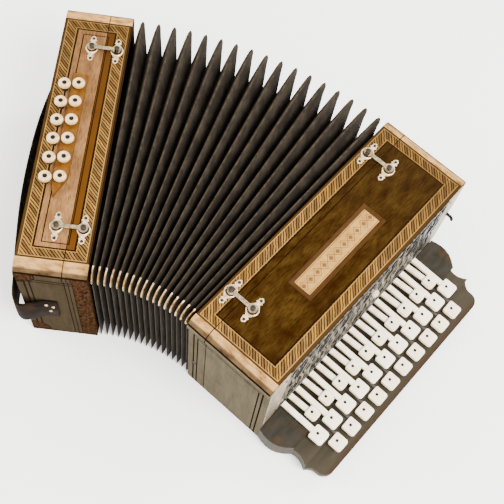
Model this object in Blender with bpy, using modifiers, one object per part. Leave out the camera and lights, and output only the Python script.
"""A small diatonic button accordion lying on its back, its bellows opened like a fan.

The frame: the origin is on the back face of the treble case, under the middle of the treble box.
+Z points out of the front face, +Y runs along the keyboard to its high end, and +X points from
the bellows to the keyboard. Every length is in metres and every angle in radians.
"""

import math
from collections import namedtuple

import bmesh
import bpy
from mathutils import Matrix, Vector

# --- The two boxes that the bellows joins --------------------------------------------------------
BOX_LENGTH = 0.259  # along the keyboard, at the back face
BOX_DEPTH = 0.155  # back face to front face
TREBLE_WIDTH = 0.090  # case and bellows frame together
BASS_WIDTH = 0.062
TREBLE_FRAME_WIDTH = 0.0200
BASS_FRAME_WIDTH = 0.0210
CASE_WALL = 0.005
END_PLATE = 0.006  # the wall that closes a case, opposite the bellows
FRAME_WALL = 0.008
EDGE_RADIUS = 0.010  # the rounded front edges at both ends of a box
EDGE_UNDERCUT = 44  # the degrees that this rounding turns past square
END_FLARE = 0.0045  # how much further each end reaches just under its rounded front edge
GAP = 0.0003  # between pieces that touch

# --- The bellows fan ----------------------------------------------------------------------------
FAN_ANGLE = math.radians(35.94)
FAN_INNER_RADIUS = 0.155  # from the point where the fold lines meet to the treble box
FAN_INNER_RADIUS_BASS = 0.1533
BELLOWS_INSET = 0.0012  # from a box's outline to a fold's ridge
FOLD_COUNT = 17
FOLD_DEPTH = 0.022
BELLOWS_LINER = 0.003  # cloth and card left between a valley and the air space

# --- The keyboard board -------------------------------------------------------------------------
BOARD_BOTTOM = 0.009
STEP_HEIGHTS = (0.033, 0.025, 0.017)  # top faces of the cheek, the middle step and the outer step
STEP_EDGES = (0.0345, 0.0522, 0.0740)  # from the case wall to each step's outer edge
BOARD_REACH = 0.0022  # how far each scrolled end passes the end of a box's back face
CHEEK_CLEARANCE = 0.0009  # from the last stem to the raised block, or cheek, at each end
STEM_SLOT_CLEARANCE = 0.0008

# --- The keys -----------------------------------------------------------------------------------
KEY_PITCH = 0.0199
STEM_WIDTH = 0.0052
STEM_THICKNESS = 0.003
OUTER_STEM_WIDTH = 0.003
AXLE_RADIUS = 0.001
AXLE_CLEARANCE = 0.0003
AXLE_INSET = 0.015  # from the outside of the keyboard wall to the axle
AXLE_HEIGHT = 0.036
KEY_SLOT_TOP = 0.0425  # the top of the slot in the wall that the stems pass through
ARM_THICKNESS = 0.003
PALLET_THICKNESS = 0.003
# Near and length place a head from the wall. Top and thickness are the head's, stem_top is the
# stem's top at the head, and a pallet's share says how far up the sound board it closes its hole.
KeyRow = namedtuple(
    "KeyRow", "name count near length width top thickness stem_top stem_width pallet_share pallet_width"
)
INNER_ROW = KeyRow("inner", 10, 0.0210, 0.0120, 0.0108, 0.043, 0.0045, 0.0412, STEM_WIDTH, 0.2, 0.006)
MIDDLE_ROW = KeyRow("middle", 11, 0.0362, 0.0148, 0.0146, 0.037, 0.0038, 0.0360, STEM_WIDTH, 0.5, 0.006)
OUTER_ROW = KeyRow("outer", 10, 0.0535, 0.0140, 0.0140, 0.027, 0.0040, 0.0256, OUTER_STEM_WIDTH, 0.8, 0.008)
KEY_ROWS = (INNER_ROW, MIDDLE_ROW, OUTER_ROW)
PALLET_HEIGHT = 0.009
ARM_OFFSET = 0.0013  # from the axle to the upright arm's side that carries the pallet
SOUND_BOARD_THICKNESS = 0.004
REED_BLOCK_SHARES = (0.26, 0.74)  # how far up the sound board the two reed blocks sit
REED_BLOCK_CLEARANCE = 0.008  # from the blocks to the bellows frame
HEAD_BEVEL = 0.0012

# --- The grille and its knob --------------------------------------------------------------------
GRILLE_THICKNESS = 0.0012
GRILLE_MARGIN = 0.0205  # from a case end to the grille's end
GRILLE_FOOT = 0.046
GRILLE_HEAD_MARGIN = 0.005
WINDOW_BORDER = 0.004
GRILLE_SLOTS = 14
GRILLE_SLOT_SHARE = 0.62  # of the slots' pitch
KNOB_PLACE = (0.004, BOX_DEPTH - 0.029)  # y, z
KNOB_RADIUS = 0.0038
KNOB_SHAFT_RADIUS = 0.0018
MULLION_WIDTH = 0.014

# --- The bass buttons ---------------------------------------------------------------------------
STRAP_SIDE_COLUMN = ("strap_side", 0.0132 - BASS_WIDTH / 2, -0.0032)  # name, x, middle of the column
BELLOWS_SIDE_COLUMN = ("bellows_side", 0.0256 - BASS_WIDTH / 2, -0.0012)
BUTTON_COLUMNS = (STRAP_SIDE_COLUMN, BELLOWS_SIDE_COLUMN)
BUTTONS_PER_COLUMN = 6
BUTTON_PITCH = 0.0191
BUTTON_RADIUS = 0.0061
BUTTON_THICKNESS = 0.0040
BUTTON_LIFT = 0.0078  # from the front face to the underside of a button
BUTTON_STEM_RADIUS = 0.0021
BUTTON_HOLE_RADIUS = 0.0013
RAIL_SIDES = (-0.0068, 0.0060)  # from the buttons' middle line
RAIL_ENDS = (-0.0548, 0.0612)  # from the middle of the column
RAIL_POINT = (-0.0040, -0.0644)
RAIL_THICKNESS = 0.0045

# --- The clasps ---------------------------------------------------------------------------------
CLASP_SPREAD = 0.0920  # from the middle of a box to the clasps near its ends
CLASP_FROM_SEAM = (0.0121, 0.0115)  # the treble's pivot post and frame post, each side of the seam
BASS_CLASP_FROM_SEAM = (0.0115, 0.0113)
POST_RADIUS = 0.0016
POST_HEIGHT = 0.0055
HOOK_LIFT = 0.0027
HOOK_THICKNESS = 0.0013
HOOK_EYE_RADIUS = 0.0040
HOOK_BAR_WIDTH = 0.0036

# --- The hand strap -----------------------------------------------------------------------------
STRAP_THICKNESS = 0.0024
STRAP_WIDTH = 0.046
STRAP_LOW_EDGE = 0.042
STRAP_RISE = 0.0143  # the strap's middle, away from the bass case
STRAP_TAB = 0.034  # the length screwed to each end face, from the corner

ROUND = 20

# name: sRGB hex colour, roughness, metallic
FINISHES = {
    "case_wood": ("#7a4f2a", 0.45, 0.0),
    "frame_wood": ("#8a6a40", 0.5, 0.0),
    "board_paint": ("#5d574d", 0.6, 0.0),
    "ivory": ("#e9e2d5", 0.35, 0.0),
    "bellows_cloth": ("#1f1d1b", 0.85, 0.0),
    "nickel": ("#c9c3b4", 0.3, 1.0),
    "black_leather": ("#1a1614", 0.6, 0.0),
    "rail_wood": ("#a8712f", 0.45, 0.0),
    "reed_wood": ("#c9a878", 0.7, 0.0),
    "axle_wire": ("#8f8b80", 0.4, 1.0),
}


def clear_scene():
    for obj in list(bpy.data.objects):
        bpy.data.objects.remove(obj, do_unlink=True)


def collection(name, hidden=False):
    made = bpy.data.collections.new(name)
    bpy.context.scene.collection.children.link(made)
    made.hide_render = hidden
    return made


def linear(hex_colour):
    """The linear colour of an sRGB hex value."""
    channels = [int(hex_colour[i : i + 2], 16) / 255 for i in (1, 3, 5)]
    return [c / 12.92 if c <= 0.04045 else ((c + 0.055) / 1.055) ** 2.4 for c in channels] + [1.0]


def make_materials():
    for name, (colour, roughness, metallic) in FINISHES.items():
        material = bpy.data.materials.new(name)
        material.use_nodes = True
        shader = material.node_tree.nodes["Principled BSDF"]
        shader.inputs["Base Color"].default_value = linear(colour)
        shader.inputs["Roughness"].default_value = roughness
        shader.inputs["Metallic"].default_value = metallic
        material.diffuse_color = linear(colour)


def mesh_from(bm, name):
    bmesh.ops.recalc_face_normals(bm, faces=bm.faces)
    mesh = bpy.data.meshes.new(name)
    bm.to_mesh(mesh)
    bm.free()
    return mesh


def box_into(bm, low, high):
    """Adds the box between two corners to a bmesh."""
    size = [b - a for a, b in zip(low, high)]
    middle = [(a + b) / 2 for a, b in zip(low, high)]
    place = Matrix.Translation(middle) @ Matrix.Diagonal((*size, 1.0))
    return bmesh.ops.create_cube(bm, size=1.0, matrix=place)["verts"]


def boxes_mesh(name, corners):
    bm = bmesh.new()
    for low, high in corners:
        box_into(bm, low, high)
    return mesh_from(bm, name)


def along(axis):
    """The rotation that turns +Z to an axis."""
    return Vector((0, 0, 1)).rotation_difference(Vector(axis)).to_matrix().to_4x4()


def rods_mesh(name, rods, segments=ROUND):
    """Cylinders, each given by its radius, the middle of one end, its axis and its length."""
    bm = bmesh.new()
    for radius, start, axis, length in rods:
        place = Matrix.Translation(start) @ along(axis) @ Matrix.Translation((0, 0, length / 2))
        bmesh.ops.create_cone(
            bm, cap_ends=True, segments=segments, radius1=radius, radius2=radius, depth=length,
            matrix=place,
        )
    return mesh_from(bm, name)


def plate_mesh(name, outlines, thickness, place=Matrix.Identity(4)):
    """A flat outline, with its holes, made as thick as asked from the plane up. The plane is XY."""
    curve = bpy.data.curves.new(name, "CURVE")
    curve.dimensions = "2D"
    curve.fill_mode = "BOTH"
    curve.extrude = thickness / 2
    for outline in outlines:
        spline = curve.splines.new("POLY")
        spline.points.add(len(outline) - 1)
        for point, (x, y) in zip(spline.points, outline):
            point.co = (x, y, 0, 1)
        spline.use_cyclic_u = True
    guide = bpy.data.objects.new(name, curve)
    bpy.context.scene.collection.objects.link(guide)
    graph = bpy.context.evaluated_depsgraph_get()
    mesh = bpy.data.meshes.new_from_object(guide.evaluated_get(graph))
    bpy.data.objects.remove(guide)
    bm = bmesh.new()
    bm.from_mesh(mesh)
    bmesh.ops.remove_doubles(bm, verts=bm.verts, dist=1e-6)
    bmesh.ops.transform(bm, matrix=place @ Matrix.Translation((0, 0, thickness / 2)), verts=bm.verts)
    bpy.data.meshes.remove(mesh)
    return mesh_from(bm, name)


# Where a plate is drawn: across the X axis (outline in Y, Z) or across the Y axis (outline in X, Z)
ACROSS_X = Matrix(((0, 0, 1, 0), (1, 0, 0, 0), (0, 1, 0, 0), (0, 0, 0, 1)))
ACROSS_Y = Matrix(((1, 0, 0, 0), (0, 0, -1, 0), (0, 1, 0, 0), (0, 0, 0, 1)))


def add(name, mesh, finish, parent=None, location=(0, 0, 0)):
    """Puts a mesh in the scene as one named piece."""
    obj = bpy.data.objects.new(name, mesh)
    obj.location = location
    obj.parent = parent
    if not mesh.materials:
        mesh.materials.append(bpy.data.materials[finish])
    mesh.shade_smooth()
    mesh.set_sharp_from_angle(angle=math.radians(30))
    PARTS.objects.link(obj)
    return obj


def combine(obj, mesh, operation):
    """Cuts the mesh from an object, or joins it on, where both are drawn about one origin."""
    helper = bpy.data.objects.new(f"{obj.name}_{operation.lower()}", mesh)
    helper.parent = obj.parent
    helper.location = obj.location
    helper.hide_render = True
    helper.display_type = "WIRE"
    HELPERS.objects.link(helper)
    modifier = obj.modifiers.new(operation.title(), "BOOLEAN")
    modifier.operation = operation
    modifier.solver = "EXACT"
    modifier.object = helper
    return obj


def baked(name, first, *steps):
    """One mesh from a first mesh and Boolean steps, each a mesh and an operation."""
    body = bpy.data.objects.new(name, first)
    HELPERS.objects.link(body)
    for mesh, operation in steps:
        combine(body, mesh, operation)
    bpy.context.view_layer.update()
    graph = bpy.context.evaluated_depsgraph_get()
    mesh = bpy.data.meshes.new_from_object(body.evaluated_get(graph))
    mesh.name = name
    for modifier in list(body.modifiers):
        bpy.data.objects.remove(modifier.object, do_unlink=True)
    bpy.data.objects.remove(body, do_unlink=True)
    return mesh


def arc(centre, radius, start, end, steps):
    """Points along an arc, both ends included. Angles are in degrees."""
    angles = [math.radians(start + (end - start) * i / steps) for i in range(steps + 1)]
    return [(centre[0] + radius * math.cos(a), centre[1] + radius * math.sin(a)) for a in angles]


# --- Places that follow from the driving sizes ---------------------------------------------------
HALF_LENGTH = BOX_LENGTH / 2
TREBLE_FACE = -TREBLE_WIDTH / 2  # where the bellows meets the treble frame
TREBLE_SEAM = TREBLE_FACE + TREBLE_FRAME_WIDTH
WALL = TREBLE_WIDTH / 2  # the outside of the keyboard wall
BASS_FACE = BASS_WIDTH / 2
BASS_SEAM = BASS_FACE - BASS_FRAME_WIDTH
STRAP_WALL = -BASS_WIDTH / 2
AXLE = Vector((WALL - AXLE_INSET, 0.0, AXLE_HEIGHT))
CLASP_SPAN_TREBLE = (TREBLE_SEAM + CLASP_FROM_SEAM[0], TREBLE_SEAM - CLASP_FROM_SEAM[1])
CLASP_SPAN_BASS = (BASS_SEAM - BASS_CLASP_FROM_SEAM[0], BASS_SEAM + BASS_CLASP_FROM_SEAM[1])
BOARD_FOOT = GRILLE_FOOT + WINDOW_BORDER  # of the sound board, and of the windows before it
BOARD_HEAD = BOX_DEPTH - CASE_WALL - 2 * GAP
FAN_CENTRE = Vector((TREBLE_FACE, -HALF_LENGTH - FAN_INNER_RADIUS, 0.0))
BASS_AWAY = Vector((-math.sin(FAN_ANGLE), math.cos(FAN_ANGLE), 0.0))  # along the bass box
BASS_ACROSS = Vector((math.cos(FAN_ANGLE), math.sin(FAN_ANGLE), 0.0))
BASS_PLACE = FAN_CENTRE + (FAN_INNER_RADIUS_BASS + HALF_LENGTH) * BASS_AWAY - BASS_FACE * BASS_ACROSS


def fan_pivot():
    """The point that the bass box turns about, from the fan to its closed place beside the treble."""
    closed_thickness = FAN_INNER_RADIUS * FAN_ANGLE
    open_corner = FAN_CENTRE + FAN_INNER_RADIUS_BASS * BASS_AWAY
    closed_corner = Vector((TREBLE_FACE - closed_thickness, -HALF_LENGTH, 0.0))
    chord = closed_corner - open_corner
    right_of_chord = Vector((chord.y, -chord.x, 0.0))
    return (open_corner + closed_corner) / 2 + right_of_chord / (2 * math.tan(FAN_ANGLE / 2))


# --- Casings ------------------------------------------------------------------------------------
def end_y(z):
    """How far from the middle a box's end reaches at a height. Its ends lean out towards the front."""
    flare_height = BOX_DEPTH - EDGE_RADIUS - EDGE_RADIUS * math.sin(math.radians(EDGE_UNDERCUT))
    return HALF_LENGTH + END_FLARE * z / flare_height


def box_outline(inset=0.0, edge_steps=8):
    """The outline of a box in Y and Z, with its front edges rounded."""
    radius = max(EDGE_RADIUS - inset, 0.0005)
    centre_y = HALF_LENGTH + END_FLARE - inset - radius * math.cos(math.radians(EDGE_UNDERCUT))
    centre_z = BOX_DEPTH - inset - radius
    points = [(inset - HALF_LENGTH, inset), (HALF_LENGTH - inset, inset)]
    points += arc((centre_y, centre_z), radius, -EDGE_UNDERCUT, 90, edge_steps)
    points += arc((-centre_y, centre_z), radius, 90, 180 + EDGE_UNDERCUT, edge_steps)
    return points


def ring_mesh(name, start, end, wall):
    """The four walls of a box, open at both sides."""
    place = Matrix.Translation((start, 0, 0)) @ ACROSS_X
    return plate_mesh(name, [box_outline(), box_outline(wall)], end - start, place)


def posts_mesh(name, x):
    """The clasp posts that stand on a front face, one near each end."""
    start = BOX_DEPTH - CASE_WALL / 2
    height = CASE_WALL / 2 + POST_HEIGHT
    ends = (-CLASP_SPREAD, CLASP_SPREAD)
    return rods_mesh(name, [(POST_RADIUS, (x, y, start), (0, 0, 1), height) for y in ends], 12)


def treble_case():
    """The treble casing: four walls, and the keyboard wall with its grille windows and key slot."""
    shell = ring_mesh("treble_case", TREBLE_SEAM + GAP, WALL - END_PLATE / 2, CASE_WALL)
    plate_place = Matrix.Translation((WALL - END_PLATE, 0, 0)) @ ACROSS_X
    plate = plate_mesh("wall", [box_outline()], END_PLATE, plate_place)
    y_end = HALF_LENGTH - GRILLE_MARGIN - WINDOW_BORDER
    high = BOX_DEPTH - GRILLE_HEAD_MARGIN - WINDOW_BORDER
    inside, outside = WALL - 2 * END_PLATE, WALL + END_PLATE
    middle = KNOB_PLACE[0]
    slot_end = last_stem(MIDDLE_ROW) + STEM_WIDTH / 2
    windows = [
        ((inside, -y_end, BOARD_FOOT), (outside, middle - MULLION_WIDTH / 2, high)),
        ((inside, middle + MULLION_WIDTH / 2, BOARD_FOOT), (outside, y_end, high)),
        ((inside, -slot_end, STEP_HEIGHTS[2] + 0.0025), (outside, slot_end, KEY_SLOT_TOP)),
    ]
    hole = (KNOB_SHAFT_RADIUS + GAP, (inside, *KNOB_PLACE), (1, 0, 0), 3 * END_PLATE)
    case = add("treble_case", shell, "case_wood")
    combine(case, plate, "UNION")
    combine(case, boxes_mesh("windows", windows), "DIFFERENCE")
    combine(case, rods_mesh("knob_hole", [hole], 12), "DIFFERENCE")
    combine(case, posts_mesh("posts", CLASP_SPAN_TREBLE[0]), "UNION")


def treble_bellows_frame():
    ring = ring_mesh("treble_bellows_frame", TREBLE_FACE, TREBLE_SEAM, FRAME_WALL)
    frame = add("treble_bellows_frame", ring, "frame_wood")
    combine(frame, posts_mesh("posts", CLASP_SPAN_TREBLE[1]), "UNION")


def bass_case(parent):
    """The bass casing, with a hole in its front wall for each button stem."""
    shell = ring_mesh("bass_case", STRAP_WALL + END_PLATE / 2, BASS_SEAM - GAP, CASE_WALL)
    plate_place = Matrix.Translation((STRAP_WALL, 0, 0)) @ ACROSS_X
    plate = plate_mesh("wall", [box_outline()], END_PLATE, plate_place)
    case = add("bass_case", shell, "case_wood", parent)
    combine(case, plate, "UNION")
    combine(case, stem_holes("stem_holes", BUTTON_COLUMNS), "DIFFERENCE")
    combine(case, posts_mesh("posts", CLASP_SPAN_BASS[0]), "UNION")


def bass_bellows_frame(parent):
    ring = ring_mesh("bass_bellows_frame", BASS_SEAM, BASS_FACE, FRAME_WALL)
    frame = add("bass_bellows_frame", ring, "frame_wood", parent)
    combine(frame, posts_mesh("posts", CLASP_SPAN_BASS[1]), "UNION")


# --- Bellows ------------------------------------------------------------------------------------
def bellows():
    """The folded cloth tube as one closed solid, pleated outside and smooth inside."""
    bm = bmesh.new()
    sections = 2 * FOLD_COUNT
    end_turn = GAP / FAN_INNER_RADIUS * 1.4
    rings = []
    for i in range(sections + 1):
        share = i / sections
        angle = end_turn + (FAN_ANGLE - 2 * end_turn) * share
        radius = FAN_INNER_RADIUS + (FAN_INNER_RADIUS_BASS - FAN_INNER_RADIUS) * share
        away = Vector((-math.sin(angle), math.cos(angle), 0.0))
        depth = FOLD_DEPTH if i % 2 else 0.0
        rings.append([
            section_loop(bm, away, radius, BELLOWS_INSET + inset)
            for inset in (depth, FOLD_DEPTH + BELLOWS_LINER)
        ])
    for here, there in zip(rings, rings[1:]):
        for side in (0, 1):
            for k in range(len(here[side])):
                a, b, c, d = here[side][k - 1], here[side][k], there[side][k], there[side][k - 1]
                bm.faces.new((a, b, c, d))
    for outer, inner in (rings[0], rings[-1]):
        for k in range(len(outer)):
            bm.faces.new((outer[k - 1], outer[k], inner[k], inner[k - 1]))
    add("bellows", mesh_from(bm, "bellows"), "bellows_cloth")


def section_loop(bm, away, radius, inset):
    """The bellows at one angle of the fan, inset from the boxes' outline."""
    points = []
    for y, z in box_outline(inset, edge_steps=3):
        place = FAN_CENTRE + away * (radius + HALF_LENGTH + y)
        points.append(bm.verts.new((place.x, place.y, z)))
    return points


# --- Keyboard -----------------------------------------------------------------------------------
def board_end(edges, y):
    """The scrolled end of the board, from the wall to the outer edge, as offsets from (WALL, y)."""
    first, second, outer = edges
    cusp_drop, step_drop = 0.0086, 0.0046
    swell = [(first * t, 0.0028 * math.sin(math.pi * t) - (cusp_drop * t**3)) for t in steps(6)]
    hollow = [
        (
            first + (second - first) * t,
            -cusp_drop + (cusp_drop - step_drop) * t**2 - 0.0014 * math.sin(math.pi * t),
        )
        for t in steps(4)[1:]
    ]
    dip = [
        (second + 0.0085 * t, -step_drop - 0.0056 * math.sin(math.pi / 2 * t)) for t in steps(3)[1:]
    ]
    corner = 0.0105
    turn_centre = (outer - corner, dip[-1][1] - corner)
    rounded = arc(turn_centre, corner, 78, 0, 5)
    return [(WALL + x, y + dy) for x, dy in swell + hollow + dip + rounded]


def steps(count):
    return [i / count for i in range(count + 1)]


def board_outline(cut_at=None):
    """The whole board seen from above, or its part between the wall and a step's edge."""
    end = board_end(STEP_EDGES, HALF_LENGTH + BOARD_REACH)
    start = GAP + WALL
    end[0] = (start, end[0][1])
    if cut_at is not None:
        edge = WALL + cut_at
        end = [point for point in end if point[0] <= edge + 1e-6]
    return end + [(x, -y) for x, y in reversed(end)]


def keyboard_board():
    """The stepped board: three plates, a sunk middle between two cheeks, and the stems' slots."""
    cheek_top, middle_top, outer_top = STEP_HEIGHTS
    at = Matrix.Translation
    outer = plate_mesh("outer_step", [board_outline()], outer_top - BOARD_BOTTOM, at((0, 0, BOARD_BOTTOM)))
    overlap = 0.002
    middle = plate_mesh(
        "middle_step", [board_outline(STEP_EDGES[1])], middle_top - outer_top + overlap,
        at((0, 0, outer_top - overlap)),
    )
    cheek = plate_mesh(
        "cheeks", [board_outline(STEP_EDGES[0])], cheek_top - middle_top + overlap,
        at((0, 0, middle_top - overlap)),
    )
    cheek_inner = last_stem(MIDDLE_ROW) + CHEEK_CLEARANCE
    wall_side, open_side = WALL - CASE_WALL, WALL + STEP_EDGES[0] + CASE_WALL
    sunk = ((wall_side, -cheek_inner, middle_top), (open_side, cheek_inner, BOX_DEPTH))
    half_slot = OUTER_STEM_WIDTH / 2 + STEM_SLOT_CLEARANCE
    slots = []
    for k in range(OUTER_ROW.count):
        y = key_y(OUTER_ROW, k) + stem_shift(OUTER_ROW)
        low = (wall_side, y - half_slot, outer_top + 0.0025)
        slots.append((low, (WALL + STEP_EDGES[1] + 0.002, y + half_slot, cheek_top + CASE_WALL)))
    board = add("keyboard_board", outer, "board_paint")
    combine(board, middle, "UNION")
    combine(board, cheek, "UNION")
    combine(board, boxes_mesh("sunk_middle", [sunk]), "DIFFERENCE")
    combine(board, boxes_mesh("stem_slots", slots), "DIFFERENCE")


def key_y(row, k):
    return (k - (row.count - 1) / 2) * KEY_PITCH


def last_stem(row):
    """From the middle of the board to the far side of a row's last stem."""
    return key_y(row, row.count - 1) + row.stem_width / 2


def stem_shift(row):
    """The outer row's stems run between those of the other two rows."""
    return KEY_PITCH / 4 if row is OUTER_ROW else 0.0


def pallet_height(row):
    return BOARD_FOOT + (BOARD_HEAD - BOARD_FOOT) * row.pallet_share


def key_mesh(row):
    """One key about its axle: head, stem, boss on the axle, upright arm and pallet."""
    width, top, stem_top, pallet_z = row.width, row.top, row.stem_top, pallet_height(row)
    shift = stem_shift(row)
    head_near, head_far = WALL + row.near, WALL + row.near + row.length
    stem_far = head_near + 0.7 * row.length
    arm = AXLE.x + ARM_OFFSET
    arm_top = pallet_z + PALLET_HEIGHT / 2
    boss_low, boss_high = AXLE.z - 0.003, AXLE.z + 0.003
    boss_in = AXLE.x - 0.0034
    rear = [
        (arm + ARM_THICKNESS, boss_high), (arm + ARM_THICKNESS, arm_top), (arm, arm_top),
        (arm, boss_high), (boss_in, boss_high), (boss_in, boss_low),
    ]
    if row is OUTER_ROW:
        drop = AXLE.x + 0.0035
        front = [
            (drop, boss_low), (drop, stem_top - STEM_THICKNESS), (stem_far, stem_top - STEM_THICKNESS),
            (stem_far, stem_top), (drop + STEM_THICKNESS, stem_top), (drop + STEM_THICKNESS, boss_high),
        ]
    else:
        wall_top = AXLE.z + 0.002
        front = [
            (AXLE.x + 0.006, boss_low), (WALL, wall_top - STEM_THICKNESS),
            (stem_far, stem_top - STEM_THICKNESS), (stem_far, stem_top), (WALL, wall_top),
            (AXLE.x + 0.008, boss_high),
        ]
    to_axle = Matrix.Translation(-AXLE)
    stem_place = to_axle @ Matrix.Translation((0, shift + row.stem_width / 2, 0)) @ ACROSS_Y
    stem = plate_mesh("stem", [rear + front], row.stem_width, stem_place)
    bm = bmesh.new()
    box_into(bm, (head_near, -width / 2, top - row.thickness), (head_far, width / 2, top))
    round_edges = [
        edge for edge in bm.edges
        if abs(edge.verts[0].co.z - edge.verts[1].co.z) > row.thickness / 2
        or min(v.co.z for v in edge.verts) > top - row.thickness / 2
    ]
    bmesh.ops.bevel(bm, geom=round_edges, offset=HEAD_BEVEL, segments=1, affect="EDGES", profile=0.5)
    bmesh.ops.transform(bm, matrix=to_axle, verts=bm.verts)
    head = mesh_from(bm, "head")
    pallet = boxes_mesh("pallet", [(
        (arm - PALLET_THICKNESS, shift - row.pallet_width / 2, pallet_z - PALLET_HEIGHT / 2),
        (arm + ARM_THICKNESS / 2, shift + row.pallet_width / 2, arm_top - 0.0005),
    )])
    pallet.transform(to_axle)
    bore = rods_mesh(
        "bore", [(AXLE_RADIUS + AXLE_CLEARANCE, (0, -width, 0), (0, 1, 0), 2 * width)], 8
    )
    return baked(f"{row.name}_key", stem, (head, "UNION"), (pallet, "UNION"), (bore, "DIFFERENCE"))


def keys():
    for row in KEY_ROWS:
        mesh = key_mesh(row)
        for k in range(row.count):
            place = AXLE + Vector((0, key_y(row, k), 0))
            add(f"treble_key_{row.name}_{k + 1:02d}", mesh, "ivory", location=place)


def key_axle():
    reach = end_y(AXLE_HEIGHT) - CASE_WALL - 2 * GAP
    wire = rods_mesh("key_axle", [(AXLE_RADIUS, (0, -reach, 0), (0, 1, 0), 2 * reach)], 8)
    add("key_axle", wire, "axle_wire", location=AXLE)


def treble_sound_board():
    """The upright board that the pallets close, one air hole a key, with two reed blocks behind."""
    front = AXLE.x + ARM_OFFSET - PALLET_THICKNESS - GAP
    reach = end_y(BOARD_FOOT) - CASE_WALL - 2 * GAP
    back = front - SOUND_BOARD_THICKNESS
    board = boxes_mesh("treble_sound_board", [((back, -reach, BOARD_FOOT), (front, reach, BOARD_HEAD))])
    block_back = TREBLE_SEAM + REED_BLOCK_CLEARANCE
    block_reach = reach - 0.010
    board_height = BOARD_HEAD - BOARD_FOOT
    blocks = []
    for share in REED_BLOCK_SHARES:
        z, half = BOARD_FOOT + share * board_height, board_height / 9
        blocks.append(((block_back, -block_reach, z - half), (front - GAP, block_reach, z + half)))
    holes = []
    for row in KEY_ROWS:
        for k in range(row.count):
            y, z = key_y(row, k) + stem_shift(row), pallet_height(row)
            holes.append(((front - 0.008, y - 0.002, z - 0.003), (front + 0.002, y + 0.002, z + 0.003)))
    piece = add("treble_sound_board", board, "reed_wood")
    combine(piece, boxes_mesh("reed_blocks", blocks), "UNION")
    combine(piece, boxes_mesh("air_holes", holes), "DIFFERENCE")


# --- Grille and knob ----------------------------------------------------------------------------
def treble_grille():
    """The pierced plate over the windows, with slanted slots and a hole for the knob's shaft."""
    y_end = HALF_LENGTH - GRILLE_MARGIN
    low, high = GRILLE_FOOT, BOX_DEPTH - GRILLE_HEAD_MARGIN
    outlines = [[(-y_end, low), (y_end, low), (y_end, high), (-y_end, high)]]
    y_place, z_place = KNOB_PLACE
    outlines.append(arc(KNOB_PLACE, KNOB_SHAFT_RADIUS + GAP, 0, 330, 11))
    slot_low, slot_high = low + 2 * WINDOW_BORDER, high - 2 * WINDOW_BORDER
    pitch = (2 * y_end - 4 * WINDOW_BORDER) / GRILLE_SLOTS
    lean = pitch * 0.35
    for k in range(GRILLE_SLOTS):
        left = -y_end + 2 * WINDOW_BORDER + pitch * (k + (1 - GRILLE_SLOT_SHARE) / 2)
        right = left + pitch * GRILLE_SLOT_SHARE
        if left - lean - KNOB_RADIUS < y_place < right + lean + KNOB_RADIUS:
            continue
        slot = [(left - lean, slot_low), (right - lean, slot_low), (right, slot_high), (left, slot_high)]
        outlines.append(slot)
    place = Matrix.Translation((WALL + GAP, 0, 0)) @ ACROSS_X
    add("treble_grille", plate_mesh("treble_grille", outlines, GRILLE_THICKNESS, place), "nickel")


def stop_knob():
    """The round knob on its shaft, which slides in the grille and the wall's mullion."""
    start = WALL - END_PLATE - 0.002
    head_start = WALL + 2 * GAP + GRILLE_THICKNESS
    length = head_start + 0.002 - start
    rods = [(KNOB_SHAFT_RADIUS, (start, *KNOB_PLACE), (1, 0, 0), length)]
    shaft = rods_mesh("stop_knob", rods, 10)
    bm = bmesh.new()
    centre = Matrix.Translation((head_start + 0.0030, *KNOB_PLACE)) @ Matrix.Diagonal((0.78, 1, 1, 1))
    bmesh.ops.create_uvsphere(bm, u_segments=12, v_segments=8, radius=KNOB_RADIUS, matrix=centre)
    knob = add("stop_knob", shaft, "ivory")
    combine(knob, mesh_from(bm, "ball"), "UNION")


# --- Bass buttons -------------------------------------------------------------------------------
def button_y(column, k):
    return column[2] + (k - (BUTTONS_PER_COLUMN - 1) / 2) * BUTTON_PITCH


def stem_holes(name, columns):
    """Round holes through the front wall for the button stems."""
    radius = BUTTON_STEM_RADIUS + GAP
    rods = [
        (radius, (column[1], button_y(column, k), BOX_DEPTH - 2 * CASE_WALL), (0, 0, 1), 4 * CASE_WALL)
        for column in columns for k in range(BUTTONS_PER_COLUMN)
    ]
    return rods_mesh(name, rods, 10)


def bass_button_rail(parent):
    """The raised wooden rail under the buttons beside the bellows, pointed at its lower end."""
    left, right = RAIL_SIDES
    low, high = RAIL_ENDS
    outline = [(right, high), (right, low + 0.010), RAIL_POINT, (left, low + 0.004), (left, high)]
    column_x, column_y = BELLOWS_SIDE_COLUMN[1:]
    mesh = plate_mesh(
        "bass_button_rail", [outline], RAIL_THICKNESS,
        Matrix.Translation((column_x, column_y, BOX_DEPTH + GAP)),
    )
    rail = add("bass_button_rail", mesh, "rail_wood", parent)
    combine(rail, stem_holes("rail_holes", [BELLOWS_SIDE_COLUMN]), "DIFFERENCE")


def button_mesh():
    """A disc with a sunk middle, on a stem that reaches into the case."""
    up = (0, 0, 1)
    foot = -BUTTON_LIFT - 2 * CASE_WALL
    middle = BUTTON_THICKNESS / 2
    disc = rods_mesh("button", [(BUTTON_RADIUS, (0, 0, 0), up, BUTTON_THICKNESS)], ROUND)
    stem = rods_mesh("stem", [(BUTTON_STEM_RADIUS, (0, 0, foot), up, middle - foot)], 10)
    dimple = rods_mesh("dimple", [(BUTTON_HOLE_RADIUS, (0, 0, middle), up, BUTTON_THICKNESS)], 10)
    return baked("bass_button", disc, (stem, "UNION"), (dimple, "DIFFERENCE"))


def bass_buttons(parent):
    mesh = button_mesh()
    for column in BUTTON_COLUMNS:
        for k in range(BUTTONS_PER_COLUMN):
            place = (column[1], button_y(column, k), BOX_DEPTH + BUTTON_LIFT)
            add(f"bass_button_{column[0]}_{k + 1:02d}", mesh, "ivory", parent, place)


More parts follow.
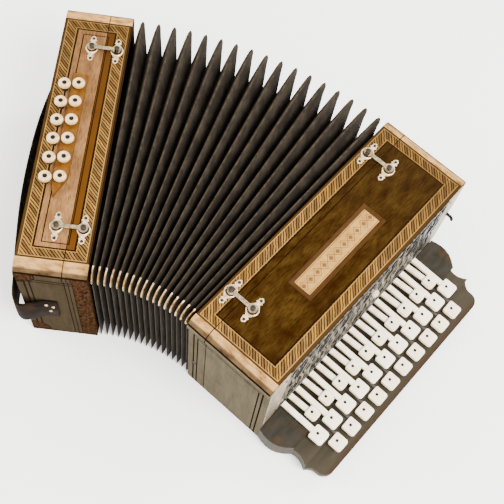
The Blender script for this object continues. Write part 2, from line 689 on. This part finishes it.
def bass_reed_block(parent):
    """The bass reeds' block, with its row of cells, on the case's back wall."""
    reach = HALF_LENGTH - 0.030
    left, right = STRAP_WALL + END_PLATE + 0.004, BASS_SEAM - 0.002
    low, high = CASE_WALL + GAP, BOX_DEPTH - 0.050
    cell_count, wall, depth = 8, 0.003, 0.045
    pitch = (2 * reach - wall) / cell_count
    cells = []
    for k in range(cell_count):
        start = -reach + k * pitch
        corner = (right - wall, start + pitch, high + wall)
        cells.append(((left + wall, start + wall, high - depth), corner))
    body = boxes_mesh("bass_reed_block", [((left, -reach, low), (right, reach, high))])
    block = add("bass_reed_block", body, "reed_wood", parent)
    combine(block, boxes_mesh("cells", cells), "DIFFERENCE")


# --- Clasps -------------------------------------------------------------------------------------
def hook_mesh(span, slot_side):
    """A hook bar about its pivot: an eye, a waist, and an open hook that the frame's post sits in."""
    reach = span[1] - span[0]
    eye_hole = POST_RADIUS + GAP
    up, sides = (0, 0, 1), 14
    eye = rods_mesh("eye", [(HOOK_EYE_RADIUS, (0, 0, 0), up, HOOK_THICKNESS)], sides)
    hook = rods_mesh("hook", [(HOOK_EYE_RADIUS, (reach, 0, 0), up, HOOK_THICKNESS)], sides)
    edge = math.copysign(HOOK_EYE_RADIUS * 0.7, reach)
    ends = sorted((edge, reach - edge))
    half = HOOK_BAR_WIDTH / 2
    bar = boxes_mesh("bar", [((ends[0], -half, 0), (ends[1], half, HOOK_THICKNESS))])
    below, above = -HOOK_THICKNESS, 2 * HOOK_THICKNESS
    rods = [(eye_hole, (x, 0, below), up, above - below) for x in (0, reach)]
    bores = rods_mesh("bores", rods, 12)
    mouth = sorted((0.0, slot_side * 2 * HOOK_EYE_RADIUS))
    corners = (reach - eye_hole, mouth[0], below), (reach + eye_hole, mouth[1], above)
    slot = boxes_mesh("mouth", [corners])
    cuts = (bores, "DIFFERENCE"), (slot, "DIFFERENCE")
    return baked("clasp_hook", eye, (hook, "UNION"), (bar, "UNION"), *cuts)


def clasp_hooks(side, span, parent):
    for name, direction in (("lower", -1), ("upper", 1)):
        place = (span[0], direction * CLASP_SPREAD, BOX_DEPTH + HOOK_LIFT)
        add(f"{side}_{name}_clasp_hook", hook_mesh(span, -direction), "nickel", parent, place)


# --- Hand strap ---------------------------------------------------------------------------------
def strap_path(half_length):
    """The strap's inner face in the bass box's frame: round both corners and bowed out between."""
    clear = 2 * GAP
    corner = 0.006
    side = STRAP_WALL - clear
    tab_end = STRAP_WALL + STRAP_TAB
    tab_y = half_length + clear
    bow_start = half_length - 0.004
    half = [(tab_end, tab_y), ((tab_end + side) / 2, tab_y)]
    half += arc((side + corner * 0.4, tab_y - corner), corner, 90, 165, 3)
    for t in steps(10)[1:]:
        rise = STRAP_RISE * math.sin(math.pi / 2 * t) ** 1.25
        half.append((side - 0.004 - rise, bow_start * (1 - t)))
    return half + [(x, -y) for x, y in reversed(half[:-1])]


def hand_strap(parent):
    """The leather strap: a band of even width bent round its path, thickened outwards."""
    bm = bmesh.new()
    edges = []
    for z in (STRAP_LOW_EDGE, STRAP_LOW_EDGE + STRAP_WIDTH):
        edges.append([bm.verts.new((x, y, z)) for x, y in strap_path(end_y(z))])
    columns = list(zip(*edges))
    for (a, b), (c, d) in zip(columns, columns[1:]):
        bm.faces.new((a, c, d, b))
    mesh = bpy.data.meshes.new("hand_strap")
    bm.to_mesh(mesh)
    bm.free()
    strap = add("hand_strap", mesh, "black_leather", parent)
    skin = strap.modifiers.new("Thickness", "SOLIDIFY")
    skin.thickness = STRAP_THICKNESS
    skin.offset = 1.0
    skin.use_even_offset = True


# --- The whole instrument -----------------------------------------------------------------------
def empty(name, location, angle=0.0, parent=None):
    made = bpy.data.objects.new(name, None)
    made.location = location
    made.rotation_euler = (0, 0, angle)
    made.parent = parent
    PARTS.objects.link(made)
    return made


clear_scene()
PARTS = collection("accordion")
HELPERS = collection("cutters", hidden=True)
make_materials()
pivot_place = fan_pivot()
fan = empty("fan_pivot", pivot_place)
bass = empty("bass_box", BASS_PLACE - pivot_place, FAN_ANGLE, fan)

treble_case()
treble_bellows_frame()
keyboard_board()
keys()
key_axle()
treble_sound_board()
treble_grille()
stop_knob()
clasp_hooks("treble", CLASP_SPAN_TREBLE, None)
bellows()
bass_case(bass)
bass_bellows_frame(bass)
bass_button_rail(bass)
bass_buttons(bass)
bass_reed_block(bass)
clasp_hooks("bass", CLASP_SPAN_BASS, bass)
hand_strap(bass)
